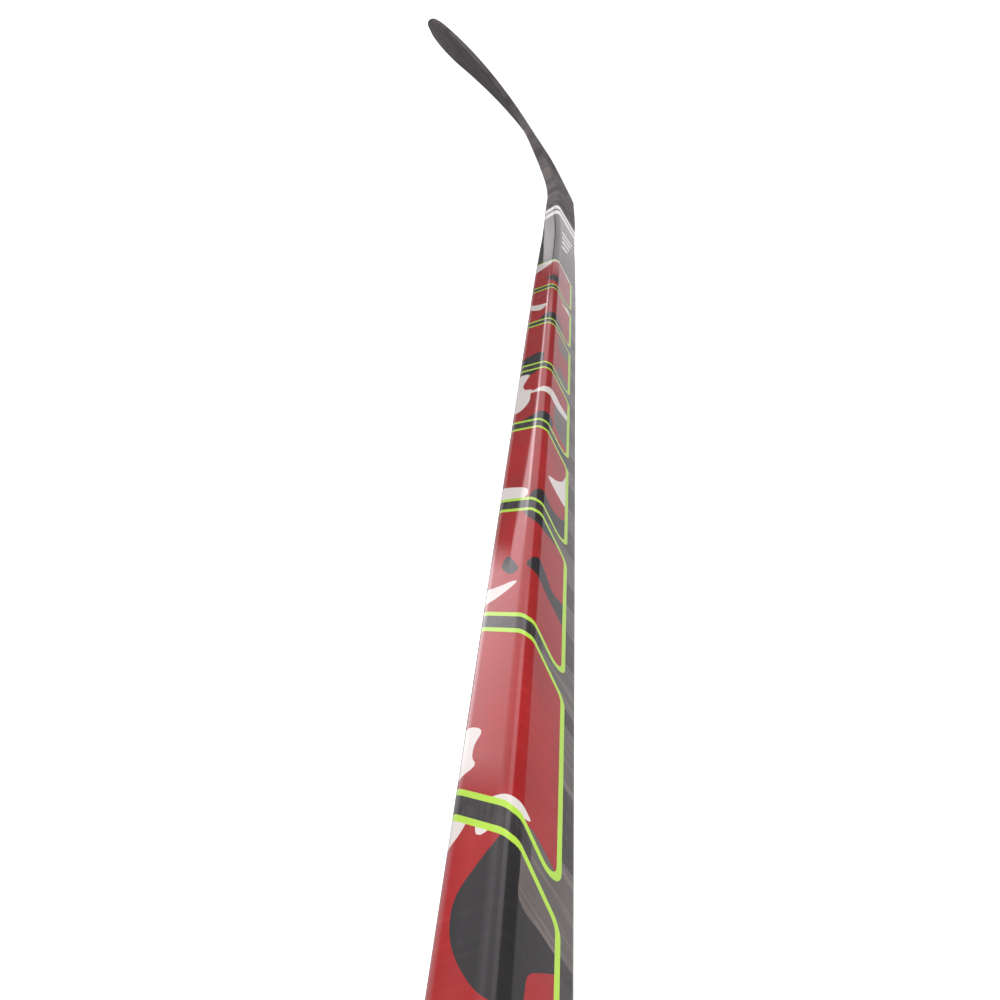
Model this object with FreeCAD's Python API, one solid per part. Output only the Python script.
import FreeCAD, Part
import math
import os

# Senior one-piece composite ice hockey stick, right-handed, millimetres.
# Frame: +Z up, +X from heel to toe, +Y towards the forehand (concave) side.
# Origin: centre of the flat length of the blade's bottom edge, resting on the ice.
# The shaft rises towards -X and +Z at the lie angle, its mid-plane on Y = 0.
# "s" is the distance up the shaft's centre line from the heel reference point.
# Points in the XZ plane are (x, z) pairs. Sizes of rounded sections are
# (half height, half thickness, corner radius).

V = FreeCAD.Vector

# ---- shaft
LIE_DEG = 45.0            # shaft to ice, lie 5
SHAFT_W = 30.0            # top face to underside
SHAFT_T = 20.0            # forehand face to backhand face
CORNER_R = 4.2            # outside corner radius
WALL = 1.5                # tube wall
BORE_R = CORNER_R - WALL
STICK_LEN = 1524.0        # along the underside's line, from the ice to the butt (60 in)
TAPER_LEN = 368.0         # the section changes over this length above the heel
S_JOINT = 190.0           # tube's lower end, where it meets the hosel
S_SLEEVE = 145.0          # lower end of the hosel sleeve
JOINT_GAP = 0.05          # clearance at each end of the hosel sleeve
# distance above the heel, width
WIDTH_AT = ((0, 35.59), (90, 32.71), (190, 28.34), (290, 29.36), (TAPER_LEN, SHAFT_W))
# distance above the heel, thickness
THICK_AT = ((0, 14.45), (45, 15.25), (90, 15.75), (150, 17.68), (220, 19.51), (300, 19.89),
            (TAPER_LEN, SHAFT_T))

# ---- blade outline
X_HEEL = -50.0            # centre and end of the heel arc
R_HEEL = 25.07
R_THROAT = 202.02
H_HEEL = 54.43            # blade height after the throat
H_MAX = 73.4              # blade height at its tallest
X_HMAX = 180.0
X_TOE = 236.2             # tip of the toe
TOE_LEN = 45.7            # length of the rounded toe
TOE_SWEEP = 0.97          # part of each toe quarter ellipse that is drawn
SOLE = 0.25               # ground off the bottom edge to make the flat on the ice
ROCKER_X = 6.3            # rocker starts here
ROCKER_R = 4500.0
LEAD_IN = 10.0            # outline runs this far up the shaft beyond the arcs
ARC_POINTS = 60
EDGE_POINTS = 159
TOE_POINTS = 79

# ---- blade shape
CURVE = 51.7              # toe's sideways offset
CURVE_X0 = 0.0
CURVE_POWER = 1.7
LOFT_DEG = 8.3            # open face at the toe
LOFT_X0 = -10.0
LOFT_POWER = 1.1
Z_TWIST = 38.0            # height the open face turns about
TIP_R = 2.2               # rounding of the toe's tip
# heel to toe as 0 to 1, thickness
BLADE_T_AT = ((0, 14.45), (0.05, 12.63), (0.10, 10.28), (0.20, 9.19), (0.34, 7.46),
              (0.70, 5.96), (1.0, 4.85))
# heel to toe as 0 to 1, corner radius
BLADE_R_AT = ((0, CORNER_R), (0.15, 4.0), (0.3, 3.0), (1, 2.2))
MAX_CORNER = 0.96         # corner radius limit, as a part of either half size

# ---- blade construction
N_HOSEL = 3               # stations between the sleeve and the heel
N_BLADE = 44
SPACING_POWER = 1.3       # crowds the stations towards the toe
SKIN = 1.0                # blade face laminate
SKIN_HOSEL = 1.8
SKIN_BLEND_FROM = 2       # station where the skin starts to thin
SKIN_BLEND_OVER = 14.0    # stations it thins over
RIM = 4.6                 # depth of the perimeter wrap
MIN_RIM_HALF = 11.0       # the wrap is solid where the half height is no more than this
STRINGER_T = 1.2
STRINGER_FROM = 0.24      # stringer ends, as parts of the blade's station count
STRINGER_TO = 0.74

# ---- joint
TENON_TOP = 265.0
FILM_SETBACK = 2.0        # below the tenon's top
FOAM_SETBACK = 4.0
GLUE = 0.2
TENON_WALL = 1.6
TENON_BORE_R = 1.2

# ---- butt end; offsets are distances below the tube's upper end
CAP_T = 4.0
CAP_FILLET = 1.4
SPIGOT_LEN = 38.0
SPIGOT_GAP = 0.25
SPIGOT_WALL = 2.0
SPIGOT_OVERLAP = 0.5      # into the cap
POCKET_R = 1.0
POCKET_END = 3.0
RIB_FROM, RIB_TO = 20.0, 12.0
RIB_W = 1.0
RIB_ROOT = 0.3            # sunk into the spigot
RIB_CLEARANCE = 0.02      # to the tube's bore
RIB_OFFSETS = (-7.0, 0.0, 7.0)
GLUE_BAND_LEN = 7.0
GLUE_BANDS = (34.0, 9.0)

lie = math.radians(LIE_DEG)
DOWN = (math.cos(lie), -math.sin(lie))    # down the shaft
OUT = (math.sin(lie), math.cos(lie))      # out of the shaft's top face


# ---- interpolation and plane geometry
def smooth(t):
    t = min(1.0, max(0.0, t))
    return t * t * (3 - 2 * t)


def interpolate(xs, ys, x):
    """Straight-line interpolation, held at the end values."""
    i = 0
    while i < len(xs) - 2 and xs[i + 1] < x:
        i += 1
    t = min(1.0, max(0.0, (x - xs[i]) / (xs[i + 1] - xs[i])))
    return ys[i] + (ys[i + 1] - ys[i]) * t


def pchip(table, x):
    """Monotone cubic through a table of (x, y) rows, held at the end values."""
    xs, ys = zip(*table)
    n = len(xs)
    gaps = [xs[i + 1] - xs[i] for i in range(n - 1)]
    slopes = [(ys[i + 1] - ys[i]) / gaps[i] for i in range(n - 1)]
    tangents = [0.0] * n
    for i in range(1, n - 1):
        if slopes[i - 1] * slopes[i] > 0:
            before = 2 * gaps[i] + gaps[i - 1]
            after = gaps[i] + 2 * gaps[i - 1]
            tangents[i] = (before + after) / (before / slopes[i - 1] + after / slopes[i])
    for end, near, far in ((0, 0, 1), (n - 1, n - 2, n - 3)):
        total = gaps[near] + gaps[far]
        tangent = ((gaps[near] + total) * slopes[near] - gaps[near] * slopes[far]) / total
        if tangent * slopes[near] <= 0:
            tangent = 0.0
        elif slopes[near] * slopes[far] <= 0 and abs(tangent) > 3 * abs(slopes[near]):
            tangent = 3 * slopes[near]
        tangents[end] = tangent
    i = 0
    while i < n - 2 and x > xs[i + 1]:
        i += 1
    t = min(1.0, max(0.0, (x - xs[i]) / gaps[i]))
    return ((1 + 2 * t) * (1 - t) ** 2 * ys[i] + t * (1 - t) ** 2 * gaps[i] * tangents[i]
            + t * t * (3 - 2 * t) * ys[i + 1] + t * t * (t - 1) * gaps[i] * tangents[i + 1])


def shift(point, down=0.0, out=0.0):
    return (point[0] + DOWN[0] * down + OUT[0] * out,
            point[1] + DOWN[1] * down + OUT[1] * out)


def distance_down(point):
    return point[0] * DOWN[0] + point[1] * DOWN[1]


def bend(x, z):
    """Sideways offset of the blade: curve towards the forehand, less the open face."""
    u = max(0.0, (x - CURVE_X0) / (X_TOE - CURVE_X0))
    v = max(0.0, (x - LOFT_X0) / (X_TOE - LOFT_X0))
    open_face = math.radians(LOFT_DEG) * v ** LOFT_POWER
    return CURVE * u ** CURVE_POWER - (z - Z_TWIST) * math.tan(open_face)


# ---- reference points: the heel arc meets the underside, the throat arc the top face
heel_half = WIDTH_AT[0][1] / 2
heel_centre = (X_HEEL, R_HEEL - SOLE)
underside = shift(heel_centre, out=-R_HEEL)
base = shift(underside, out=heel_half)    # where s = 0
top_face = shift(underside, out=2 * heel_half)
throat_start = shift(top_face, out=R_THROAT)
throat_centre = shift(throat_start, down=(H_HEEL + R_THROAT - throat_start[1]) / DOWN[1])


# ---- blade outlines as dense point lists, from the shaft to the toe
def arc_points(centre, radius):
    """From the shaft's direction round to the lowest point."""
    start = math.atan2(-OUT[1], -OUT[0])
    sweep = -math.pi / 2 - start
    angles = [start + sweep * k / (ARC_POINTS - 1) for k in range(ARC_POINTS)]
    return [(centre[0] + radius * math.cos(a), centre[1] + radius * math.sin(a))
            for a in angles]


heel = arc_points(heel_centre, R_HEEL)
throat = arc_points(throat_centre, R_THROAT)
x_throat = throat[-1][0]
x_round = X_TOE - TOE_LEN


def z_bottom(x):
    return max(0.0, x - ROCKER_X) ** 2 / (2 * ROCKER_R) - SOLE


def z_top(x):
    t = min(1.25, max(0.0, (x - x_throat) / (X_HMAX - x_throat)))
    return H_HEEL + (H_MAX - H_HEEL) * math.sin(t * math.pi / 2)


def edge_points(x_start, height):
    xs = [x_start + (x_round - x_start) * k / EDGE_POINTS for k in range(1, EDGE_POINTS + 1)]
    return [(x, height(x)) for x in xs]


def toe_points(z_edge, z_middle):
    angles = [k / TOE_POINTS * math.pi / 2 * TOE_SWEEP for k in range(1, TOE_POINTS + 1)]
    return [(x_round + TOE_LEN * math.sin(a), z_middle + (z_edge - z_middle) * math.cos(a))
            for a in angles]


def with_lead_in(points):
    return [shift(points[0], down=outline_start - distance_down(points[0]))] + points


def running_lengths(points):
    lengths = [0.0]
    for a, b in zip(points, points[1:]):
        lengths.append(lengths[-1] + math.hypot(b[0] - a[0], b[1] - a[1]))
    return lengths


z_low, z_high = z_bottom(x_round), z_top(x_round)
z_mid = (z_low + z_high) / 2
outline_start = min(distance_down(throat[0]), distance_down(heel[0])) - LEAD_IN
top = with_lead_in(throat + edge_points(x_throat, z_top) + toe_points(z_high, z_mid))
bottom = with_lead_in(heel + edge_points(X_HEEL, z_bottom) + toe_points(z_low, z_mid))
top_run, bottom_run = running_lengths(top), running_lengths(bottom)

ARC_END = ARC_POINTS                      # index of the arc's last point
EDGE_END = ARC_END + EDGE_POINTS          # index of the edge's last point
MID_EDGE = 140                            # index along the top edge
MID_THROAT, MID_HEEL = 31, 35             # indices along the two arcs


def bottom_run_at(x):
    edge = slice(ARC_END, EDGE_END + 1)
    return interpolate([p[0] for p in bottom[edge]], bottom_run[edge], x)


# heel to toe as 0 to 1, against distance along each outline
STATION_KEYS = (0, 0.14, 0.30, 0.62, 0.86, 1.0)
TOP_RUN_AT = tuple(zip(STATION_KEYS, (
    0, top_run[MID_THROAT], top_run[ARC_END], top_run[MID_EDGE], top_run[EDGE_END],
    top_run[-1])))
BOTTOM_RUN_AT = tuple(zip(STATION_KEYS, (
    0, bottom_run[MID_HEEL],
    max(bottom_run_at(top[ARC_END][0] - 4), bottom_run[ARC_END] + 8),
    bottom_run_at(top[MID_EDGE][0]), bottom_run_at(x_round), bottom_run[-1])))

S_HEEL = distance_down(base) - outline_start
S_TAPER = S_HEEL + TAPER_LEN
S_BUTT = STICK_LEN - underside[1] / -DOWN[1] - CAP_T    # tube's upper end


# ---- stations
class Station:
    """A cut across the stick between a top and a bottom point."""

    def __init__(self, upper, lower, thickness, corner):
        self.centre = ((upper[0] + lower[0]) / 2, (upper[1] + lower[1]) / 2)
        height = math.hypot(upper[0] - lower[0], upper[1] - lower[1])
        self.across = ((upper[0] - lower[0]) / height, (upper[1] - lower[1]) / height)
        self.half_h = height / 2
        self.half_t = thickness / 2
        self.corner = min(corner, self.half_t * MAX_CORNER, self.half_h * MAX_CORNER)

    def point(self, v, w):
        """v runs up the height, w towards the forehand."""
        x = self.centre[0] + self.across[0] * v
        z = self.centre[1] + self.across[1] * v
        return V(x, w + bend(x, z), z)

    def inset(self, depth, corner):
        return self.half_h - depth, self.half_t - depth, corner


def shaft_station(s):
    above_heel = min(s - S_HEEL, TAPER_LEN)
    half = pchip(WIDTH_AT, above_heel) / 2
    centre = shift(base, down=-s)
    return Station(shift(centre, out=half), shift(centre, out=-half),
                   pchip(THICK_AT, above_heel), CORNER_R)


def blade_station(key):
    upper, lower = [
        tuple(interpolate(run, [p[axis] for p in points], pchip(run_at, key))
              for axis in (0, 1))
        for points, run, run_at in ((top, top_run, TOP_RUN_AT),
                                    (bottom, bottom_run, BOTTOM_RUN_AT))]
    to_tip = X_TOE - (upper[0] + lower[0]) / 2
    near = min(TIP_R, max(0.0, TIP_R - to_tip))
    thickness = pchip(BLADE_T_AT, key) + 2 * (math.sqrt(TIP_R ** 2 - near ** 2) - TIP_R)
    return Station(upper, lower, thickness, pchip(BLADE_R_AT, key))


stations = [shaft_station(S_SLEEVE - (S_SLEEVE - S_HEEL) * k / N_HOSEL)
            for k in range(N_HOSEL)]
stations += [blade_station(1 - (1 - k / (N_BLADE - 1)) ** SPACING_POWER)
             for k in range(N_BLADE)]
for i, st in enumerate(stations):
    blend = smooth((i - SKIN_BLEND_FROM) / SKIN_BLEND_OVER)
    st.skin = SKIN_HOSEL + (SKIN - SKIN_HOSEL) * blend


# ---- section wires
def wire(st, segments):
    """Each segment is two (v, w) points for a line or three for an arc."""
    edges = []
    for segment in segments:
        curve = Part.LineSegment if len(segment) == 2 else Part.Arc
        edges.append(curve(*[st.point(v, w) for v, w in segment]).toShape())
    return Part.Wire(edges)


def quad(st, v0, v1, w0, w1):
    a, b, c, d = (v0, w0), (v1, w0), (v1, w1), (v0, w1)
    return wire(st, [(a, b), (b, c), (c, d), (d, a)])


def round_end(h, t, r, v_sign, w_sign):
    """Corner arc, end face and corner arc, at the v_sign end, from the w_sign side."""
    k = r * (1 - math.sqrt(0.5))
    a, b, c, d, e, f = [(v_sign * v, w_sign * w) for v, w in (
        (h - r, t), (h - k, t - k), (h, t - r),
        (h, -(t - r)), (h - k, -(t - k)), (h - r, -t))]
    return [(a, b, c), (c, d), (d, e, f)]


def rounded(st, h, t, r):
    return wire(st, [((-(h - r), t), (h - r, t))] + round_end(h, t, r, 1, 1)
                + [((h - r, -t), (-(h - r), -t))] + round_end(h, t, r, -1, -1))


def outside(st):
    return rounded(st, st.half_h, st.half_t, st.corner)


def rim(st, sign):
    """The perimeter wrap's D section: flat on the inside, rounded outside corners."""
    h, t, r = st.half_h, st.half_t, st.corner
    flat, tangent = sign * (h - RIM), sign * (h - r)
    return wire(st, [((flat, -t), (flat, t)), ((flat, t), (tangent, t))]
                + round_end(h, t, r, sign, 1) + [((tangent, -t), (flat, -t))])


# ---- solids
def loft(wires):
    shape = Part.makeLoft(wires, True, False)
    if shape.Volume < 0:                  # some lofts come out inside out
        shape.reverse()
    return shape


def shaft_loft(s0, s1, count, depth, corner):
    """A solid along the shaft, inset by depth from the shaft's own outside."""
    cuts = [shaft_station(s0 + (s1 - s0) * k / (count - 1)) for k in range(count)]
    return loft([rounded(st, *st.inset(depth, corner)) for st in cuts])


def shaft_ring(s0, s1, count, outer, inner):
    """A tapered tube; outer and inner are (depth, corner radius)."""
    return shaft_loft(s0, s1, count, *outer).cut(shaft_loft(s0, s1, count, *inner))


def extrude_up(section, length):
    return Part.Face(section).extrude(V(-DOWN[0] * length, 0, -DOWN[1] * length))


def prism(s0, s1, size):
    return extrude_up(rounded(shaft_station(s0), *size), s1 - s0)


def save(name, shape):
    if shape.ShapeType == "Compound" and len(shape.Solids) == 1:
        shape = shape.Solids[0]
    shape.exportStep("parts/%s.step" % name)


os.makedirs("parts", exist_ok=True)

# ---- shaft tube: straight upper length, tapered lower end
shaft_size = (SHAFT_W / 2, SHAFT_T / 2, CORNER_R)
bore_size = (SHAFT_W / 2 - WALL, SHAFT_T / 2 - WALL, BORE_R)
shell = ((0, CORNER_R), (WALL, BORE_R))
straight = prism(S_TAPER, S_BUTT, shaft_size).cut(prism(S_TAPER, S_BUTT, bore_size))
save("shaft_tube", straight.fuse(shaft_ring(S_JOINT, S_TAPER, 9, *shell)))

# ---- hosel sleeve: the laminate that continues the tube to the blade
save("hosel_sleeve", shaft_ring(S_SLEEVE, S_JOINT - JOINT_GAP, 5, *shell))

# ---- tenon, the bond film round it and its foam filling
tenon_foot = S_SLEEVE + JOINT_GAP
tenon_outer = (WALL + GLUE, BORE_R - GLUE)
tenon_bore = (WALL + GLUE + TENON_WALL, TENON_BORE_R)
save("hosel_tenon", shaft_ring(tenon_foot, TENON_TOP, 8, tenon_outer, tenon_bore))
save("tenon_bond_film",
     shaft_ring(tenon_foot, TENON_TOP - FILM_SETBACK, 8, (WALL, BORE_R), tenon_outer))
save("tenon_foam_plug",
     shaft_loft(tenon_foot, TENON_TOP - FOAM_SETBACK + JOINT_GAP, 8, *tenon_bore))

# ---- blade
last = max(i for i, st in enumerate(stations) if st.half_h > MIN_RIM_HALF)
body = stations[:last + 1]


def edge_wrap():
    """Wraps on both edges, joined by a solid toe and ground flat at the ice."""
    upper = loft([rim(st, 1) for st in body])
    lower = loft([rim(st, -1) for st in body])
    tip = loft([outside(st) for st in stations[last:]])
    below_ice = Part.makeBox(600, 200, 60, V(-300, -100, -60))
    return upper.fuse([lower, tip]).cut(below_ice)


def face_skin(side):
    """side is 1 for the forehand, -1 for the backhand."""
    wires = []
    for st in body:
        w0, w1 = sorted((side * (st.half_t - st.skin), side * st.half_t))
        wires.append(quad(st, -(st.half_h - RIM), st.half_h - RIM, w0, w1))
    return loft(wires)


def core_band(cuts, low, high):
    """Between the skins; low and high are (part of the core's half height, offset)."""
    wires = []
    for st in cuts:
        h, t = st.half_h - RIM, st.half_t - st.skin
        wires.append(quad(st, low[0] * h + low[1], high[0] * h + high[1], -t, t))
    return loft(wires)


save("blade_edge_wrap", edge_wrap())
save("blade_forehand_skin", face_skin(1))
save("blade_backhand_skin", face_skin(-1))

# stringers run between the heel and toe cores, a third and two thirds of the way up
first_cut = N_HOSEL + int(N_BLADE * STRINGER_FROM)
last_cut = N_HOSEL + int(N_BLADE * STRINGER_TO)
span = stations[first_cut:last_cut + 1]
half = STRINGER_T / 2
for name, cuts, low, high in (
        ("heel_foam_core", stations[:first_cut + 1], (-1, 0), (1, 0)),
        ("toe_foam_core", stations[last_cut:last + 1], (-1, 0), (1, 0)),
        ("lower_foam_core", span, (-1, 0), (-1 / 3, -half)),
        ("lower_stringer", span, (-1 / 3, -half), (-1 / 3, half)),
        ("middle_foam_core", span, (-1 / 3, half), (1 / 3, -half)),
        ("upper_stringer", span, (1 / 3, -half), (1 / 3, half)),
        ("upper_foam_core", span, (1 / 3, half), (1, 0))):
    save(name, core_band(cuts, low, high))

# ---- butt end: cap with a hollow ribbed spigot, held by two bands of hot-melt glue
spigot_size = tuple(size - SPIGOT_GAP for size in bore_size)


def rounded_cap():
    cap = prism(S_BUTT, S_BUTT + CAP_T, shaft_size)
    x, z = shift(base, down=-(S_BUTT + CAP_T))
    end_centre, up = V(x, 0, z), V(-DOWN[0], 0, -DOWN[1])
    end_edges = [edge for edge in cap.Edges
                 if all(abs((vertex.Point - end_centre).dot(up)) < 1e-4
                        for vertex in edge.Vertexes)]
    return cap.makeFillet(CAP_FILLET, end_edges)


def spigot_ribs():
    """Three ribs on each of the forehand and backhand faces."""
    st = shaft_station(S_BUTT - RIB_FROM)
    root = spigot_size[1] - RIB_ROOT
    crest = spigot_size[1] + SPIGOT_GAP - RIB_CLEARANCE
    ribs = []
    for v in RIB_OFFSETS:
        for side in (-1, 1):
            w0, w1 = sorted((side * root, side * crest))
            section = quad(st, v - RIB_W / 2, v + RIB_W / 2, w0, w1)
            ribs.append(extrude_up(section, RIB_FROM - RIB_TO))
    return ribs


def butt_plug():
    foot = S_BUTT - SPIGOT_LEN
    pocket_size = (spigot_size[0] - SPIGOT_WALL, spigot_size[1] - SPIGOT_WALL, POCKET_R)
    spigot = prism(foot, S_BUTT + SPIGOT_OVERLAP, spigot_size)
    pocket = prism(foot - 1, S_BUTT - POCKET_END, pocket_size)
    return rounded_cap().fuse(spigot).cut(pocket).fuse(spigot_ribs())


def glue_band(s):
    end = s + GLUE_BAND_LEN
    return prism(s, end, bore_size).cut(prism(s, end, spigot_size))


save("butt_plug", butt_plug())
save("butt_plug_glue_bands",
     Part.makeCompound([glue_band(S_BUTT - below) for below in GLUE_BANDS]))
